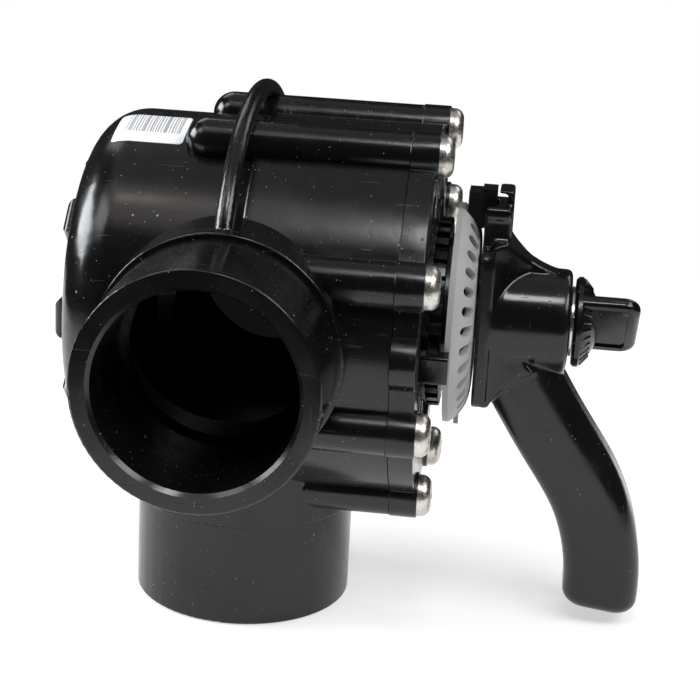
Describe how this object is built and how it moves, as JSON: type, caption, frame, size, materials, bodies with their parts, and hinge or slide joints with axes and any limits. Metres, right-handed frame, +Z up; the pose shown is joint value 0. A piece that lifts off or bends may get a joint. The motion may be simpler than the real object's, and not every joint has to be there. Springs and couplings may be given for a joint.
{
  "type": "three-port diverter valve",
  "caption": "Black plastic pool and spa diverter valve with pipe ports in a T, a screwed cover, a slotted index dial, a hanging lever handle and a wing lock knob.",
  "frame": {"origin": "centre of the bottom port's mouth, on the plane that the valve stands on", "axes": "+X along the stem towards the handle, +Y towards the rear port, +Z up; the front port opens towards -Y"},
  "size_m": [0.1922, 0.206, 0.1745],
  "materials": {
    "black_plastic": "glossy moulded black CPVC or ABS with fine scratches and a little dust",
    "grey_plastic": "satin light grey moulded plastic",
    "seal_rubber": "smooth black rubber",
    "screw_steel": "plain stainless steel",
    "white_acetal": "natural white acetal",
    "insert_brass": "turned brass",
    "label_paper": "white label stock with plain grey bars"
  },
  "bodies": {
    "casing": {"valve_body": "black_plastic", "cover": "black_plastic", "cover_oring": "seal_rubber", "cover_screws": "screw_steel", "pivot_bush": "white_acetal", "stop_ring": "black_plastic", "dial": "grey_plastic", "label": "label_paper"},
    "rotor": {"diverter": "black_plastic", "diverter_seal": "seal_rubber", "stem": "black_plastic", "stem_oring_inner": "seal_rubber", "stem_oring_outer": "seal_rubber", "thrust_washer": "white_acetal", "handle": "black_plastic", "stem_stud": "screw_steel"},
    "slider": {"index_slider": "black_plastic", "slider_spring": "screw_steel"},
    "knob_carrier": {"knob_washer": "screw_steel"},
    "knob": {"lock_knob": "black_plastic", "knob_insert": "insert_brass"},
    "front_stop": {"stop_tab_front": "black_plastic"},
    "rear_stop": {"stop_tab_rear": "black_plastic"}
  },
  "joints": [
    {"name": "handle_turn", "type": "hinge", "parent": "casing", "child": "rotor", "pos_m": [0.06, 0, 0.103], "axis": [1, 0, 0], "range_deg": [-90, 90]},
    {"name": "slider_lift", "type": "slide", "parent": "rotor", "child": "slider", "axis": [0, 0, 1], "range_m": [0, 0.003], "stiffness_N_per_m": 600, "springref_m": -0.004},
    {"name": "knob_travel", "type": "slide", "parent": "rotor", "child": "knob_carrier", "axis": [1, 0, 0], "range_m": [0, 0.003]},
    {"name": "knob_turn", "type": "hinge", "parent": "knob_carrier", "child": "knob", "pos_m": [0.11, 0, 0.103], "axis": [1, 0, 0], "range_deg": [0, 720]},
    {"name": "front_stop_pull", "type": "slide", "parent": "casing", "child": "front_stop", "axis": [0, -0.9808, -0.1951], "range_m": [0, 0.006]},
    {"name": "rear_stop_pull", "type": "slide", "parent": "casing", "child": "rear_stop", "axis": [0, 0.9808, -0.1951], "range_m": [0, 0.006]}
  ],
  "couplings": [
    {"joint": "knob_turn", "follows": "knob_travel", "rad_per_m": 4188.8}
  ]
}
